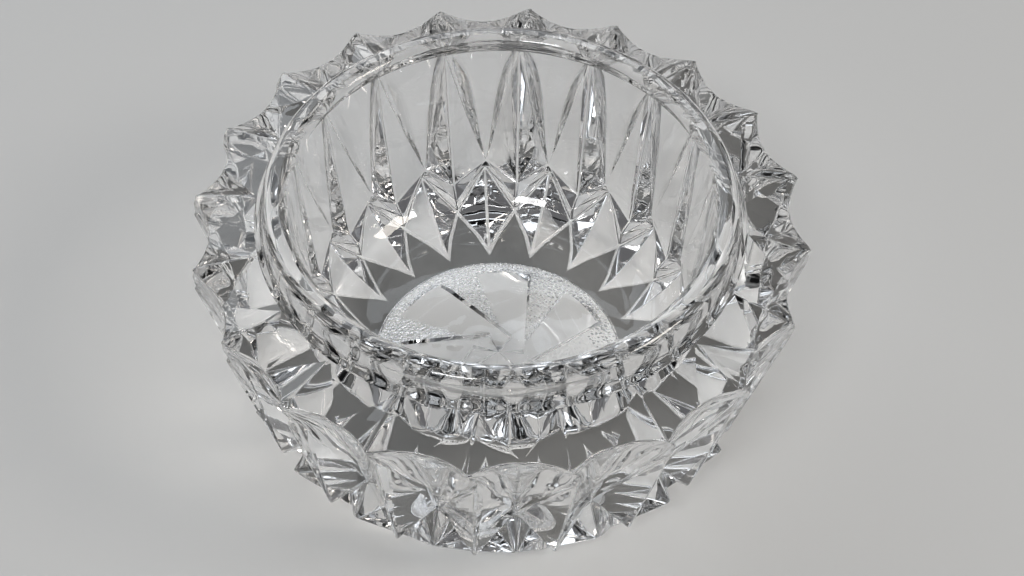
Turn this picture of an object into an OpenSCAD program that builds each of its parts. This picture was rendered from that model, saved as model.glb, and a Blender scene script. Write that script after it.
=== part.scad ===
// Open table salt of clear pressed glass, in one piece. All sizes are in millimetres.
// It stands on z = 0 with its centre line on the z axis. Angles start at +X and turn towards +Y.

/* [Lip and collar] */
// Height from the table to the top of the lip
dish_h = 30.5; // [29:0.5:34]
// Radius of the hollow at the lip
mouth_r = 21.6; // [20:0.1:22.4]
// Thickness of the lip
lip_t = 2.7; // [2.4:0.1:3.2]
// Radius of the rounding on the lip's edges
lip_round = 1.1; // [0.4:0.1:1.2]
// Radius of the collar's foot, where the ledge starts
collar_r = 25.2; // [24.8:0.1:26]
// Height of the ledge at the collar's foot
collar_h = 26.9; // [26:0.1:27.4]
// Height of the upright step at the collar's foot
collar_step = 0.3; // [0.2:0.1:0.5]

/* [Hollow] */
// Height of the floor at its middle
floor_h = 7.2; // [6:0.1:9]
// How much higher the floor is where its rounding starts
floor_dip = 0.5; // [0:0.1:1]
// Radius of the wall where the rounding at the floor ends
waist_r = 20.4; // [19:0.1:21]
// Radius of the rounding between the wall and the floor
floor_round = 6.5; // [4:0.1:9]

/* [Shoulder] */
// Number of tips around the shoulder
tip_count = 20; // [16:1:24]
// Radius of the dish at a tip
tip_r = 32; // [31:0.1:34]
// Height of the middle of a tip's short edge
tip_h = 24.6; // [23.6:0.1:25]
// Height of a tip's short edge
tip_edge = 2.1; // [1:0.1:3]
// Turn of a tip's short edge, to each side of upright
tip_turn = 0.8; // [0:0.1:1.5]
// Radius of the shoulder's edge halfway between two tips
dip_r = 30.1; // [29:0.1:30.8]
// Height of the shoulder's edge halfway between two tips
dip_h = 25.2; // [24.4:0.1:25.8]

/* [Panels and kites] */
// Radius of a side corner, where a panel ends in a point between two kites
corner_r = 25.1; // [24.6:0.1:26]
// Height of a side corner
corner_h = 9.9; // [8:0.1:11]
// How far the middle line of a panel is hollowed
panel_dip = 0.5; // [0:0.1:1]
// Radius of a kite's lower point
foot_r = 23.4; // [22.4:0.1:24.4]
// Height of a kite's lower point
foot_h = 2.8; // [2:0.1:4]
// Radius of the outward corner on a kite's middle ridge
ridge_r = 26.5; // [25.8:0.1:26.8]
// Height of the outward corner on a kite's middle ridge
ridge_h = 3.8; // [3.4:0.1:4.6]

/* [Lower points] */
// Radius of a lower point's tip
point_r = 27.8; // [26.8:0.1:28.6]
// Height of a lower point's tip
point_h = 6.5; // [5.4:0.1:7.6]
// Radius of the star-shaped foot between two of its rays
star_r = 15.4; // [15:0.1:17]

/* [Underside] */
// Radius of the whirling star's round recess
whirl_r = 13.6; // [12:0.1:14]
// Width of the level band around the whirling star
band_w = 1.1; // [0.6:0.1:2]
// Depth of the level band
band_d = 0.5; // [0.3:0.1:1]
// Depth of the ridge along a blade
blade_d = 0.6; // [0.5:0.1:0.7]
// How far a blade's two flanks fall away from its ridge, over a run as long as the star's radius
blade_fall = 1.6; // [0.6:0.1:1.7]
// Depth of the grooves between the blades
groove_d = 1.9; // [1.8:0.1:2.4]
// Width of the grooves between the blades
groove_w = 0.4; // [0.2:0.1:0.8]
// Number of blades in the whirling star
blade_count = 7; // [6:1:8]
// Distance at which the blades' edges pass the centre
hub_r = 2.8; // [2:0.1:3.4]

/* [Hidden] */
pitch = 360 / tip_count;
blade_turn = 360 / blade_count;
half_circle = 180;
overcut = 1;
lip_r = mouth_r + lip_t;
star_round = whirl_r - band_w;
ledge_run = 3 * overcut;
round_steps = 6;
floor_steps = 8;
row_count = 7;
column_count = 4;
panel_power = 1.15;
// Where a panel's sloping side ends and its level shield starts, from the side to the middle line.
crease_top_share = 0.45;
crease_low_share = 0.7;
crease_down_share = 0.5;
slope_columns_share = 0.5;
ridge_pass_share = 0.5;
whirl_angle = 52;
blade_ridge_angle = -28;
$fn = 120;

function mix(a, b, share) = a + (b - a) * share;
// A place given by its radius, angle and height, and the same place in x, y and z.
function spot(p) = [p[0] * cos(p[1]), p[0] * sin(p[1]), p[2]];
function polar(p) = [norm([p[0], p[1]]), atan2(p[1], p[0]), p[2]];
// Points of an arc in the profile plane, from one angle to another.
function arc(x, y, r, from, to, steps) =
    [for (i = [0:steps]) [x + r * cos(mix(from, to, i / steps)), y + r * sin(mix(from, to, i / steps))]];

// The named places of one kite, as radius, angle and height. The kite's middle is at angle zero.
tip_top = [tip_r, -tip_turn, tip_h + tip_edge / 2];
tip_foot = [tip_r, tip_turn, tip_h - tip_edge / 2];
function corner(side) = [corner_r, side * pitch / 2, corner_h];
// A panel's middle line, from the shoulder's edge down to the corner.
function middle(side, share) =
    let (r = mix(dip_r, corner_r, share) - panel_dip * sin(half_circle * share))
    [r, side * pitch / 2, mix(dip_h, corner_h, share)];
// A panel's side: the tip's short edge first, then straight down to the corner.
function flank(side, row) =
    row == 0 ? tip_top : polar(mix(spot(tip_foot), spot(corner(side)), (row - 1) / (row_count - 1)));
// How far across a panel its crease runs. It moves to the middle down to half of the panel's height.
function crease(row) =
    mix(crease_top_share, crease_low_share, min(row / (row_count * crease_down_share), 1));
// The columns of a panel: half of them on its sloping side, half on its level shield.
function across(row, column) =
    let (side_share = column / (column_count * slope_columns_share))
    side_share < 1 ? crease(row) * side_share : mix(crease(row), 1, side_share - 1);
// A place on the hollow panel between its side and its middle line.
function panel(side, row, column) =
    let (
        share = across(row, column),
        slope = pow(max(1 - share / crease(row), 0), panel_power),
        a = flank(side, row),
        b = middle(side, row / row_count)
    )
    [mix(b[0], a[0], slope), mix(a[1], b[1], share), mix(a[2], b[2], share)];
// The ledge runs on below the collar, so that the two meet cleanly.
function ledge_end(p) =
    let (slope = (collar_h - p[2]) / (p[0] - collar_r))
    [collar_r - ledge_run, p[1], collar_h + ledge_run * slope];

// Below the table the foot's facets run on towards one point on the centre line, and a level cut trims them.
foot_apex_h = star_r * point_h / (point_r - star_r);
under_share = (foot_apex_h - overcut) / foot_apex_h;

// All places of one sector: the kite's middle, the panel's middle, then what lies between them on each side.
tip_places = [ledge_end(tip_top), tip_top, tip_foot];
sector = concat(
    tip_places,
    [[ridge_r, 0, ridge_h], [foot_r, 0, foot_h], [foot_r, 0, 0], [foot_r * under_share, 0, -overcut]],
    [ledge_end(middle(1, 0))],
    [for (row = [0:row_count]) middle(1, row / row_count)],
    [[point_r, pitch / 2, point_h], [star_r, pitch / 2, 0], [star_r * under_share, pitch / 2, -overcut]],
    [for (side = [-1, 1]) each concat(
        [for (column = [1:column_count - 1]) ledge_end(panel(side, 0, column))],
        [for (row = [2:row_count - 1]) flank(side, row)],
        [for (row = [0:row_count - 1]) for (column = [1:column_count - 1]) panel(side, row, column)]
    )]
);

// Where they stand in the sector's list.
ridge_at = len(tip_places);
foot_at = ridge_at + 1;
base_at = foot_at + 1;
under_at = base_at + 1;
middle_ledge_at = under_at + 1;
middle_at = middle_ledge_at + 1;
corner_at = middle_at + row_count;
point_at = corner_at + 1;
star_at = point_at + 1;
star_under_at = star_at + 1;
side_at = star_under_at + 1;
inner_column_count = column_count - 1;
side_size = inner_column_count + row_count - 2 + row_count * inner_column_count;
sector_size = side_at + 2 * side_size;

function place(i, k) = ((i + tip_count) % tip_count) * sector_size + k;
function side_place(i, side, k) = place(i, side_at + (side > 0 ? side_size : 0) + k);
function ledge_place(i, m, side, column) =
    column == 0 ? place(i, 0)
    : column == column_count ? place(m, middle_ledge_at)
    : side_place(i, side, column - 1);
function panel_place(i, m, side, row, column) =
    row == row_count ? place(m, corner_at)
    : column == column_count ? place(m, middle_at + row)
    : column > 0 ? side_place(i, side, inner_column_count * (row + 1) + row_count - 2 + column - 1)
    : row < 2 ? place(i, 1 + row)
    : side_place(i, side, inner_column_count + row - 2);

// Triangles of the half sector on one side of tip i. They turn over on the other side.
function half_faces(i, side, top, bottom) =
    let (
        m = side > 0 ? i : i - 1,
        corner = place(m, corner_at),
        point = place(m, point_at),
        star = place(m, star_at),
        star_under = place(m, star_under_at),
        foot = place(i, foot_at),
        base = place(i, base_at),
        base_under = place(i, under_at)
    )
    concat(
        [for (c = [0:column_count - 1])
            let (a = ledge_place(i, m, side, c), b = ledge_place(i, m, side, c + 1))
            each [
                [top, b, a],
                [a, b, panel_place(i, m, side, 0, c + 1)],
                [a, panel_place(i, m, side, 0, c + 1), panel_place(i, m, side, 0, c)]
            ]],
        [for (r = [0:row_count - 2])
            for (c = [0:column_count - 1])
                let (a = panel_place(i, m, side, r, c), b = panel_place(i, m, side, r + 1, c + 1))
                each [
                    [a, panel_place(i, m, side, r, c + 1), b],
                    [a, b, panel_place(i, m, side, r + 1, c)]
                ]],
        [for (c = [0:column_count - 1])
            let (r = row_count - 1)
            [panel_place(i, m, side, r, c), panel_place(i, m, side, r, c + 1), corner]],
        [for (r = [1:row_count - 1])
            [panel_place(i, m, side, r, 0), panel_place(i, m, side, r + 1, 0), place(i, ridge_at)]],
        [[corner, foot, place(i, ridge_at)], [corner, point, foot], [foot, point, base], [point, star, base]],
        [[base, star, star_under], [base, star_under, base_under], [bottom, base_under, star_under]]
    );

function turned(face, side) = side > 0 ? face : [face[0], face[2], face[1]];

// The cut outside of the dish, closed under the lip and below the table.
module cut_wall() {
    points = concat(
        [for (i = [0:tip_count - 1]) for (p = sector) spot([p[0], p[1] + i * pitch, p[2]])],
        [[0, 0, dish_h - overcut], [0, 0, -overcut]]);
    top = len(points) - 2;
    faces = [
        for (i = [0:tip_count - 1])
            for (side = [-1, 1])
                for (face = half_faces(i, side, top, top + 1)) turned(face, side)
    ];
    polyhedron(points, faces);
}

// The plain collar and the rounded lip.
module lip() {
    collar_top = collar_h + collar_step;
    rotate_extrude()
        polygon(concat(
            [[0, collar_h - ledge_run], [collar_r, collar_h - ledge_run], [collar_r, collar_top]],
            [[lip_r, collar_top + collar_r - lip_r]],
            arc(lip_r - lip_round, dish_h - lip_round, lip_round, 0, 90, round_steps),
            [[0, dish_h]]));
}

// The smooth hollow: a steep wall, a wide rounding and a floor that dips to its middle.
module hollow() {
    wall_h = floor_h + floor_dip + floor_round;
    rotate_extrude()
        polygon(concat(
            [[0, floor_h]],
            [for (i = [1:floor_steps])
                let (share = i / floor_steps)
                [(waist_r - floor_round) * share, floor_h + floor_dip * share * share]],
            arc(waist_r - floor_round, wall_h, floor_round, -90 + 90 / round_steps, 0, round_steps),
            arc(mouth_r + lip_round, dish_h - lip_round, lip_round, 180, 90, round_steps),
            [[mouth_r + lip_round, dish_h + overcut], [0, dish_h + overcut]]));
}

// All that lies farther out than a straight edge, which passes the centre at this distance.
module beyond(distance) {
    translate([distance, -whirl_r])
        square(2 * whirl_r);
}

// One blade's outline: a straight edge on each side, both passing beside the centre.
module blade_outline() {
    difference() {
        intersection() {
            circle(r = star_round - groove_w / 2);
            beyond(hub_r + groove_w / 2);
        }
        rotate(-blade_turn)
            beyond(hub_r - groove_w / 2);
    }
}

// The blades stand in the star's recess. Each has two flanks that meet in a straight ridge.
module blades() {
    for (i = [0:blade_count - 1])
        rotate(whirl_angle + i * blade_turn)
            difference() {
                translate([0, 0, -overcut])
                    linear_extrude(2 * overcut + groove_d)
                        blade_outline();
                for (side = [-1, 1])
                    rotate(blade_ridge_angle)
                        translate([hub_r * ridge_pass_share, 0, blade_d])
                            rotate([0, side * atan(blade_fall / star_round), 0])
                                translate([-whirl_r, -whirl_r, -2 * whirl_r])
                                    cube(2 * whirl_r);
            }
}

// The whirling star in the underside, inside its level band.
module whirling_star() {
    translate([0, 0, -overcut])
        cylinder(r = whirl_r, h = overcut + band_d);
    difference() {
        translate([0, 0, -overcut])
            cylinder(r = star_round, h = overcut + groove_d);
        blades();
    }
}

module glass_dish() {
    color("lightblue", 0.4)
        difference() {
            union() {
                cut_wall();
                lip();
            }
            hollow();
            whirling_star();
            translate([0, 0, -2 * overcut])
                cylinder(r = tip_r, h = 2 * overcut);
        }
}

glass_dish();
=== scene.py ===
import math

import bmesh
import bpy
from mathutils import Matrix, Vector


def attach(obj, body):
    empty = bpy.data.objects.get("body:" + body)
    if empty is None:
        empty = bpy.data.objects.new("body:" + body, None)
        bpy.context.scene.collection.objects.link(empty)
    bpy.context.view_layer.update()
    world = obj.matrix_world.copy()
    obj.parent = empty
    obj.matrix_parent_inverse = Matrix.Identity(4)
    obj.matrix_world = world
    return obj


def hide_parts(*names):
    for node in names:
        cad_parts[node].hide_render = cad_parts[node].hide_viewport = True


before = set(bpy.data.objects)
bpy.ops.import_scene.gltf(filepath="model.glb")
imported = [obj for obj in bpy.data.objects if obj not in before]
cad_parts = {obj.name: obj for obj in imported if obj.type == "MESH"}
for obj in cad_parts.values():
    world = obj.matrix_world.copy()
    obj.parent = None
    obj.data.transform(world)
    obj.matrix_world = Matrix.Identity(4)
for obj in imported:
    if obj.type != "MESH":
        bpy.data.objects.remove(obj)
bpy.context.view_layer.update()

MM = 0.001
UP = Vector((0, 0, 1))

# The facets' corners as radius, angle from the kite's middle and height, in millimetres and degrees.
TIPS = 20
HALF = 180 / TIPS
TIP_TOP = (32.0, 0, 25.65)
TIP_FOOT = (32.0, 0, 23.55)
TIP_TURN = 0.8
DIP = (30.1, HALF, 25.2)
CORNER = (25.1, HALF, 9.9)
KITE_FOOT = (23.4, 0, 2.8)
POINT = (27.8, HALF, 6.5)
STAR_TIP = (23.4, 0, 0)
STAR_DIP = (15.4, HALF, 0)
RIDGE = (26.5, 0, 3.8)
FOOT_RING = 14.3

# A panel's hollow: shares across it where its creases lie, and the powers of its slopes.
CREASE_TOP = 0.45
CREASE_LOW = 0.7
SLOPE_POWER = 1.15
TOP_POWER = 1.8
PANEL_DIP = 0.5

# Shares down a panel at which its creases have moved out fully, and at which the scallop has ended.
CREASE_END = 0.5
SCALLOP_END = 0.25

# Rounded edges and blunt tips, in millimetres and degrees.
EDGE = 0.25
EDGE_STEPS = 4
SHARP = 12
BLUNT_FROM = 31.4
BLUNT_SHARE = 0.75

# What tells the panels, the shoulder and the long edges of an open ring apart, in millimetres and their squares.
PANEL_AREA = 15
ROUNDED_AREA = 4
SHOULDER_LENGTH = 3
SHOULDER_LOW = 24.4
SHOULDER_IN = 28.7
RING_LENGTH = 1.5

# How finely the panels and the open rings are divided.
STRIPS = 14
COLLAR_PARTS = 6
FOOT_PARTS = 10

# Smooth shading: the largest area of a rounded face in square millimetres, and a crease's angle in degrees.
SMOOTH_AREA = 2.5
CREASE = 35

# The turned profile of collar, lip and hollow.
COLLAR = (25.2, 26.9)
LIP_OUT = 24.3
LIP_IN = 21.6
LIP_TOP = 30.5
WAIST = 20.4
FLOOR = 7.2
FLOOR_EDGE = 7.7
FLOOR_ROUND = 6.5
LIP_ROUND = 1.1
COLLAR_CURVE = [(25.12, 27.05), (24.95, 27.25), (24.7, 27.5), (24.45, 27.85), (24.33, 28.3)]
FLOOR_SHARES = (0.85, 0.7, 0.55, 0.4, 0.25, 0.1)

# The whirling star in the underside.
RECESS = 13.6
BAND_DEPTH = 0.5
STAR = 12.5
BLADES = 7
HUB = 2.8
BLADE_HIGH = 0.6
BLADE_FALL = 1.6
RIDGE_TURN = -28
RIDGE_PASS = 1.4
GROOVE = 1.9
WHIRL = 52
STAR_RINGS = 20


def place(radius, turn, height):
    """A place in metres from its radius, angle and height."""
    a = math.radians(turn)
    return Vector((radius * math.cos(a), radius * math.sin(a), height)) * MM


def polar(co):
    return math.hypot(co.x, co.y) / MM, math.degrees(math.atan2(co.y, co.x)), co.z / MM


def mix(a, b, share):
    return a + (b - a) * share


def in_order(items):
    """The items without repeats, in the order in which they first come."""
    return list(dict.fromkeys(items))


def arc(r, z, size, start, end, steps):
    """Profile points on a round corner."""
    turns = [math.radians(mix(start, end, i / steps)) for i in range(steps + 1)]
    return [(r + size * math.cos(t), z + size * math.sin(t)) for t in turns]


# ---------- facets ----------

def side_line(z):
    """Radius and angle of a panel's side edge at a height."""
    if z >= TIP_FOOT[2]:
        return TIP_FOOT[0], 0.0
    share = (TIP_FOOT[2] - z) / (TIP_FOOT[2] - CORNER[2])
    radius, turn, _ = polar(place(*TIP_FOOT).lerp(place(*CORNER), min(share, 1)))
    return radius, turn


def middle_line(z):
    """Radius of a panel's hollowed middle line at a height."""
    share = min(max((DIP[2] - z) / (DIP[2] - CORNER[2]), 0), 1)
    return mix(DIP[0], CORNER[0], share) - PANEL_DIP * math.sin(math.pi * share)


def hollowing(across, down):
    """How far out a panel lies at a share across it: a scallop at the shoulder, creased bands below."""
    crease = mix(CREASE_TOP, CREASE_LOW, min(down / CREASE_END, 1))
    creased = max(1 - across / crease, 0) ** SLOPE_POWER
    return mix((1 - across) ** TOP_POWER, creased, min(down / SCALLOP_END, 1))


def scoop(verts):
    """Moves a flat panel's places in to its hollowed form."""
    for v in verts:
        radius, turn, z = polar(v.co)
        turn_in = abs((turn + HALF) % (2 * HALF) - HALF)
        edge, edge_turn = side_line(z)
        down = min(max((DIP[2] - z) / (DIP[2] - CORNER[2]), 0), 1)
        across = min(max((turn_in - edge_turn) / max(HALF - edge_turn, 1e-6), 0), 1)
        flat = mix(edge, mix(DIP[0], CORNER[0], down), across)
        hollowed = mix(middle_line(z), edge, hollowing(across, down))
        v.co = place(radius + hollowed - flat, turn, z)


def half_sector():
    """Half of one tip's sector in plain faces: ledge, panel, kite, lower points and foot."""
    bm = bmesh.new()
    form = bm.faces.layers.int.new("form")
    bm.verts.layers.int.new("order")
    bm.verts.layers.float.new("frosting")
    collar, collar_mid = (COLLAR[0], 0, COLLAR[1]), (COLLAR[0], HALF, COLLAR[1])
    sole, sole_mid = (FOOT_RING, 0, 0), (FOOT_RING, HALF, 0)
    made = {p: bm.verts.new(place(*p)) for p in (
        TIP_TOP, TIP_FOOT, DIP, CORNER, RIDGE, KITE_FOOT, POINT, STAR_TIP, STAR_DIP,
        collar, collar_mid, sole, sole_mid,
    )}
    panel = bm.faces.new([made[p] for p in (TIP_TOP, TIP_FOOT, CORNER, DIP)])
    for outline in (
        (collar, TIP_TOP, DIP), (collar, DIP, collar_mid),
        (TIP_FOOT, RIDGE, CORNER), (RIDGE, KITE_FOOT, CORNER),
        (CORNER, KITE_FOOT, POINT), (POINT, KITE_FOOT, STAR_TIP), (POINT, STAR_TIP, STAR_DIP),
        (STAR_TIP, sole, sole_mid, STAR_DIP),
    ):
        bm.faces.new([made[p] for p in outline])
    panel[form] = 1
    return bm


def twist_tips(bm):
    """Turns each tip's short edge a little out of upright."""
    for v in bm.verts:
        radius, turn, z = polar(v.co)
        if radius > TIP_TOP[0] - 0.1:
            v.co = place(radius, turn + (TIP_TURN if z < DIP[2] else -TIP_TURN), z)


def cut_wall():
    """All facets around the dish with rounded edges, open at the collar and underneath."""
    bm = half_sector()
    bmesh.ops.mirror(
        bm, geom=bm.verts[:] + bm.edges[:] + bm.faces[:],
        matrix=Matrix.Identity(4), merge_dist=1e-7, axis="Y",
    )
    twist_tips(bm)
    bmesh.ops.spin(
        bm, geom=bm.verts[:] + bm.edges[:] + bm.faces[:], cent=(0, 0, 0), axis=UP,
        angle=math.tau, steps=TIPS, use_duplicate=True, use_merge=False,
    )
    bmesh.ops.remove_doubles(bm, verts=bm.verts[:], dist=1e-6)
    bmesh.ops.recalc_face_normals(bm, faces=bm.faces[:])
    round_edges(bm)
    blunt_tips(bm)
    hollow_panels(bm)
    return bm


def is_ledge_valley(edge):
    """Whether an edge runs down the ledge from the collar to a low place of the shoulder."""
    inner, outer = sorted(polar(v.co)[0] for v in edge.verts)
    high = all(v.co.z > SHOULDER_LOW * MM for v in edge.verts)
    return high and inner < COLLAR[0] + 1 and abs(outer - DIP[0]) < 1


def round_edges(bm):
    """Rounds the facets' edges, as heat does in the mould."""
    form = bm.faces.layers.int["form"]
    sharp = [
        e for e in bm.edges
        if len(e.link_faces) == 2 and e.calc_face_angle(0) > math.radians(SHARP)
        and not all(f[form] for f in e.link_faces) and not is_ledge_valley(e)
    ]
    bmesh.ops.bevel(
        bm, geom=sharp, offset=EDGE * MM, offset_type="OFFSET", segments=EDGE_STEPS, profile=0.5,
        affect="EDGES", clamp_overlap=True, material=-1,
    )


def blunt_tips(bm):
    """Draws the outermost places of the tips in, so that they end blunt."""
    for v in bm.verts:
        radius, turn, z = polar(v.co)
        if radius > BLUNT_FROM:
            v.co = place(mix(BLUNT_FROM, radius, BLUNT_SHARE), turn, z)


def hollow_panels(bm):
    """Divides the flat panels and the shoulder's rounded edge, and hollows them."""
    form = bm.faces.layers.int["form"]
    panels = [f for f in bm.faces if f[form] and f.calc_area() > PANEL_AREA * MM * MM]
    shoulder = [
        e for e in bm.edges
        if e.calc_length() > SHOULDER_LENGTH * MM
        and all(v.co.z > SHOULDER_LOW * MM and polar(v.co)[0] > SHOULDER_IN for v in e.verts)
    ]
    rounded = {f for e in shoulder for f in e.link_faces if f.calc_area() < ROUNDED_AREA * MM * MM}
    edges = in_order([e for f in panels for e in f.edges] + shoulder)
    for f in bm.faces:
        f[form] = 1 if f in rounded else 0
    for f in panels:
        f[form] = 1
    bmesh.ops.subdivide_edges(bm, edges=edges, cuts=STRIPS - 1, use_grid_fill=True)
    scoop({v for f in bm.faces if f[form] for v in f.verts})
    bmesh.ops.triangulate(bm, faces=[f for f in bm.faces if len(f.verts) > 4], ngon_method="BEAUTY")
    bm.faces.layers.int.remove(form)


def open_rings(bm):
    """The upper and the lower open edge, as lists of edges."""
    open_edges = [e for e in bm.edges if e.is_boundary]
    upper = [e for e in open_edges if e.verts[0].co.z > CORNER[2] * MM]
    return upper, [e for e in open_edges if e not in set(upper)]


def grow(bm, ring, move):
    """Extrudes a ring of edges and sets its new vertices with move(radius, angle, height)."""
    made = bmesh.ops.extrude_edge_only(bm, edges=ring)["geom"]
    for v in (g for g in made if isinstance(g, bmesh.types.BMVert)):
        v.co = place(*move(*polar(v.co)))
    return [g for g in made if isinstance(g, bmesh.types.BMEdge)]


def close(bm, ring):
    """Draws a last small ring together in its middle."""
    verts = in_order(v for e in ring for v in e.verts)
    middle = sum((v.co for v in verts), Vector()) / len(verts)
    bmesh.ops.pointmerge(bm, verts=verts, merge_co=middle)


def lip_and_hollow_profile():
    wall = FLOOR_EDGE + FLOOR_ROUND
    out = arc(LIP_OUT - LIP_ROUND, LIP_TOP - LIP_ROUND, LIP_ROUND, 0, 90, 8)
    back = arc(LIP_IN + LIP_ROUND, LIP_TOP - LIP_ROUND, LIP_ROUND, 90, 180, 8)
    points = COLLAR_CURVE + out + back
    points += [(mix(LIP_IN, WAIST, i / 10), mix(LIP_TOP - LIP_ROUND, wall, i / 10)) for i in range(1, 10)]
    points += arc(WAIST - FLOOR_ROUND, wall, FLOOR_ROUND, 0, -90, 14)
    flat = WAIST - FLOOR_ROUND
    points += [(flat * s, FLOOR + (FLOOR_EDGE - FLOOR) * s * s) for s in FLOOR_SHARES]
    return points


def ring_verts(ring):
    """A ring's vertices in order round the dish."""
    return sorted({v for e in ring for v in e.verts}, key=lambda v: math.atan2(v.co.y, v.co.x) % math.tau)


def underside(bm, ring):
    """The flat foot, the recess with its level band and the whirling star's blades."""
    order, frosting = bm.verts.layers.int["order"], bm.verts.layers.float["frosting"]
    steps = (
        (RECESS + 0.12, 0), (RECESS, 0.1), (RECESS - 0.1, BAND_DEPTH - 0.1), (RECESS - 0.22, BAND_DEPTH),
        (STAR + 0.1, BAND_DEPTH),
    )
    for radius, height in steps:
        ring = grow(bm, ring, lambda r, t, z, radius=radius, height=height: (radius, t, height))
        for v in ring_verts(ring):
            v[frosting] = 0 if height == 0 else 1
    for i, v in enumerate(ring_verts(ring)):
        v[order] = i
    columns = len(ring)
    step = BLADES / columns
    start = WHIRL + math.degrees(math.acos(HUB / STAR))
    for i in range(STAR_RINGS):
        share = i / (STAR_RINGS - 1)
        radius = mix(STAR, HUB * 1.02, share)
        rise = min(1, 4 * share + 0.1)
        ring = grow(bm, ring, lambda r, t, z: (r, t, z))
        for v in {v for e in ring for v in e.verts}:
            blade, across = divmod(v[order] * step - start * BLADES / 360, 1)
            in_groove = across < step
            foot = WHIRL + (blade + 1) * 360 / BLADES
            back = 1 if in_groove else 1 - across
            turn = foot + math.degrees(math.acos(HUB / radius)) - back * 360 / BLADES
            aside = radius * math.cos(math.radians(turn - foot - RIDGE_TURN)) - RIDGE_PASS
            depth = GROOVE if in_groove else BLADE_HIGH + BLADE_FALL * abs(aside) / STAR
            v.co = place(radius, turn, mix(BAND_DEPTH, depth, rise))
            v[frosting] = 1 if aside < 0 or i == 0 else 0
    ring = grow(bm, ring, lambda r, t, z: (HUB * 0.5, t, GROOVE))
    close(bm, ring)


def divide_ring(bm, ring, parts, radius):
    """Divides an open ring's long edges and sets all its vertices on a circle."""
    long = [e for e in ring if e.calc_length() > RING_LENGTH * MM]
    bmesh.ops.subdivide_edges(bm, edges=long, cuts=parts - 1)
    for v in {v for e in bm.edges if e.is_boundary for v in e.verts}:
        r, turn, z = polar(v.co)
        if abs(r - radius) < 1:
            v.co = place(radius, turn, z)


def glass_body():
    """The whole dish as one closed mesh."""
    bm = cut_wall()
    upper, lower = open_rings(bm)
    divide_ring(bm, upper, COLLAR_PARTS, COLLAR[0])
    divide_ring(bm, lower, FOOT_PARTS, FOOT_RING)
    ring, lower = open_rings(bm)
    for radius, height in lip_and_hollow_profile():
        ring = grow(bm, ring, lambda r, t, z, radius=radius, height=height: (radius, t, height))
    close(bm, ring)
    underside(bm, lower)
    bmesh.ops.recalc_face_normals(bm, faces=bm.faces[:])
    return bm


def shade(bm):
    """Plain facets stay flat. All that is rounded is smooth up to its real creases."""
    for f in bm.faces:
        f.smooth = f.calc_area() < SMOOTH_AREA * MM * MM
    for e in bm.edges:
        e.smooth = e.calc_face_angle(0) < math.radians(CREASE)


def as_piece(bm, name, material):
    mesh = bpy.data.meshes.new(name)
    bm.to_mesh(mesh)
    bm.free()
    mesh.materials.append(material)
    piece = bpy.data.objects.new(name, mesh)
    bpy.context.scene.collection.objects.link(piece)
    return piece


# ---------- materials ----------

def nodes_of(material):
    material.use_nodes = True
    tree = material.node_tree
    return tree, tree.nodes["Principled BSDF"]


def node(tree, kind, **values):
    """A shader node with its inputs and settings."""
    made = tree.nodes.new("ShaderNode" + kind)
    for name, value in values.items():
        if hasattr(made, name):
            setattr(made, name, value)
        else:
            made.inputs[name.replace("_", " ")].default_value = value
    return made


def clear_glass():
    """Clear pressed glass: fire-polished waves, a frosted star, and a worn foot and lip."""
    material = bpy.data.materials.new("clear_pressed_glass")
    tree, shader = nodes_of(material)
    shader.inputs["Base Color"].default_value = (1, 1, 1, 1)
    shader.inputs["IOR"].default_value = 1.52
    shader.inputs["Transmission Weight"].default_value = 1.0
    place_on = node(tree, "TexCoord")
    link = tree.links.new

    waves = node(tree, "TexNoise", Scale=160.0, Detail=2.0, Roughness=0.5)
    link(place_on.outputs["Object"], waves.inputs["Vector"])
    wave_bump = node(tree, "Bump", Strength=0.12, Distance=0.0004)
    link(waves.outputs["Fac"], wave_bump.inputs["Height"])

    frosted = node(tree, "Attribute", attribute_name="frosting")
    grains = node(tree, "TexVoronoi", Scale=2600.0, Randomness=1.0)
    link(place_on.outputs["Object"], grains.inputs["Vector"])
    grain_height = node(tree, "Math", operation="MULTIPLY")
    link(grains.outputs["Distance"], grain_height.inputs[0])
    link(frosted.outputs["Fac"], grain_height.inputs[1])
    grain_bump = node(tree, "Bump", Strength=0.8, Distance=0.0002)
    link(grain_height.outputs["Value"], grain_bump.inputs["Height"])
    link(wave_bump.outputs["Normal"], grain_bump.inputs["Normal"])
    link(grain_bump.outputs["Normal"], shader.inputs["Normal"])

    height = node(tree, "SeparateXYZ")
    link(place_on.outputs["Object"], height.inputs["Vector"])
    worn_foot = node(tree, "MapRange", From_Min=0.0006, From_Max=0.0, To_Max=0.3)
    worn_lip = node(tree, "MapRange", From_Min=0.0298, From_Max=0.0305, To_Max=0.08)
    link(height.outputs["Z"], worn_foot.inputs["Value"])
    link(height.outputs["Z"], worn_lip.inputs["Value"])
    worn = node(tree, "Math", operation="ADD")
    link(worn_foot.outputs["Result"], worn.inputs[0])
    link(worn_lip.outputs["Result"], worn.inputs[1])
    worn_in_spots = node(tree, "Math", operation="MULTIPLY")
    link(worn.outputs["Value"], worn_in_spots.inputs[0])
    link(waves.outputs["Fac"], worn_in_spots.inputs[1])
    rough = node(tree, "Math", operation="MULTIPLY_ADD")
    rough.inputs[1].default_value = 0.4
    link(frosted.outputs["Fac"], rough.inputs[0])
    link(worn_in_spots.outputs["Value"], rough.inputs[2])
    link(rough.outputs["Value"], shader.inputs["Roughness"])
    let_lamps_through(tree, shader, 0.6)
    return material


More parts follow.
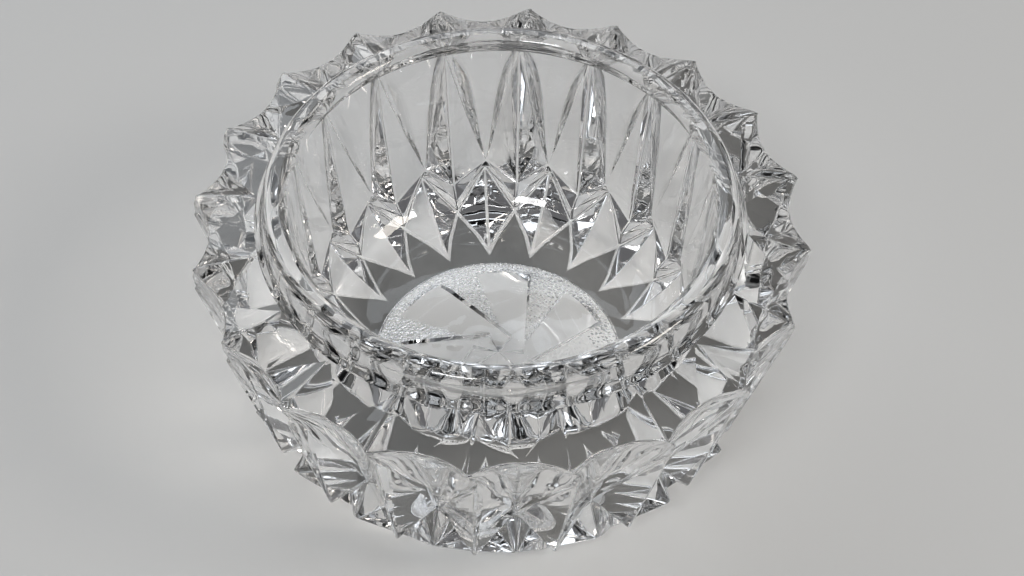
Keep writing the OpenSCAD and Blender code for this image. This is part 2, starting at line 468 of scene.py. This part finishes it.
def let_lamps_through(tree, shader, share):
    """Lets most of the lamps' light reach what is behind the glass, which casts a soft shadow."""
    path = tree.nodes.new("ShaderNodeLightPath")
    amount = tree.nodes.new("ShaderNodeMath")
    amount.operation = "MULTIPLY"
    amount.inputs[1].default_value = share
    through = tree.nodes.new("ShaderNodeBsdfTransparent")
    both = tree.nodes.new("ShaderNodeMixShader")
    tree.links.new(path.outputs["Is Shadow Ray"], amount.inputs[0])
    tree.links.new(amount.outputs["Value"], both.inputs["Fac"])
    tree.links.new(shader.outputs["BSDF"], both.inputs[1])
    tree.links.new(through.outputs["BSDF"], both.inputs[2])
    tree.links.new(both.outputs["Shader"], tree.nodes["Material Output"].inputs["Surface"])


def plain_floor():
    material = bpy.data.materials.new("pale_table")
    tree, shader = nodes_of(material)
    shader.inputs["Base Color"].default_value = (0.66, 0.66, 0.65, 1)
    shader.inputs["Roughness"].default_value = 0.6
    return material


# ---------- the dish ----------

body = glass_body()
shade(body)
dish = as_piece(body, "salt_dish", clear_glass())
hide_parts("glass_dish")
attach(dish, "root")


# ---------- stage ----------

def lamp(name, where, size, watts, colour=(1, 1, 1), size_y=None):
    """A soft area lamp that faces the dish."""
    light = bpy.data.lights.new(name, "AREA")
    light.energy = watts
    light.color = colour
    light.shape = "RECTANGLE"
    light.size = size
    light.size_y = size_y or size
    lamp_object = bpy.data.objects.new(name, light)
    lamp_object.location = where
    lamp_object.rotation_euler = (Vector((0, 0, 0.015)) - Vector(where)).to_track_quat("-Z", "Y").to_euler()
    bpy.context.scene.collection.objects.link(lamp_object)


def camera():
    """The photograph's camera, fitted to the dish's tips: 49 degrees above the table, slightly rolled."""
    elevation, roll, turn = math.radians(49.1), math.radians(1.17), math.radians(4.3)
    look = Vector((0, math.cos(elevation), -math.sin(elevation)))
    above = Vector((0, math.sin(elevation), math.cos(elevation)))
    right = Vector((1, 0, 0)) * math.cos(roll) + above * math.sin(roll)
    top = above * math.cos(roll) - Vector((1, 0, 0)) * math.sin(roll)
    spin = Matrix.Rotation(turn, 3, "Z")
    cam = bpy.data.objects.new("camera", bpy.data.cameras.new("camera"))
    placed = Matrix((spin @ right, spin @ top, spin @ -look)).transposed().to_4x4()
    placed.translation = Vector((0, 0, 24.6 * MM)) - spin @ look * 257.6 * MM
    cam.matrix_world = placed
    cam.data.sensor_width = 36
    cam.data.lens = 88.0
    cam.data.shift_x = 0.011
    cam.data.shift_y = -0.057
    cam.data.clip_start = 0.005
    bpy.context.scene.collection.objects.link(cam)
    bpy.context.scene.camera = cam


def table_top():
    bm = bmesh.new()
    bmesh.ops.create_grid(bm, x_segments=1, y_segments=1, size=0.6)
    floor = as_piece(bm, "table_top", plain_floor())


def sky():
    world = bpy.data.worlds.new("studio")
    bpy.context.scene.world = world
    world.use_nodes = True
    world.node_tree.nodes["Background"].inputs["Color"].default_value = (0.12, 0.12, 0.125, 1)


table_top()
sky()
lamp("window", (-0.35, 0.6, 0.5), 0.9, 3.2, (0.88, 0.94, 1), 0.6)
lamp("right", (0.5, -0.1, 0.45), 0.2, 1.4, (1, 0.93, 0.85))
lamp("front", (-0.15, -0.5, 0.7), 0.2, 2.2)
camera()
bpy.context.scene.view_settings.view_transform = "Standard"
